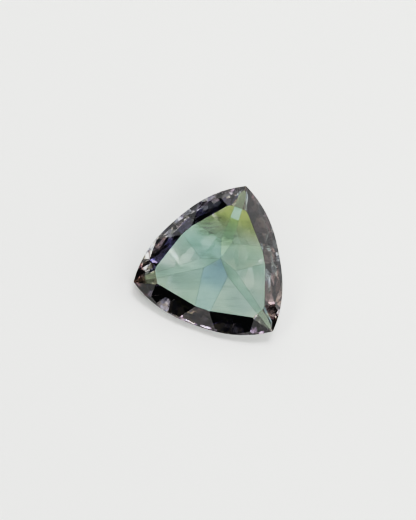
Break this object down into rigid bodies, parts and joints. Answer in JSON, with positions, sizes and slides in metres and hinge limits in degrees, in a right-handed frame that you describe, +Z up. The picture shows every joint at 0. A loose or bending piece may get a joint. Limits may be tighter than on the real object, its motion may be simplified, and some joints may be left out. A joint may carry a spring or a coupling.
{
  "type": "trillion cut tanzanite",
  "caption": "Loose faceted gemstone with a rounded triangular outline, see-through and blue-green, lying on a pavilion facet with its table turned up to the front.",
  "frame": {"origin": "on the ground, under the middle of the stone's bounding box", "axes": "+Z up; the table faces up and toward -Y, and the girdle's lowest side is at -Y"},
  "size_m": [0.008, 0.0074, 0.0039],
  "materials": {
    "tanzanite": "polished facets, see-through blue-green"
  },
  "bodies": {
    "root": {"tanzanite": "tanzanite"}
  },
  "joints": []
}
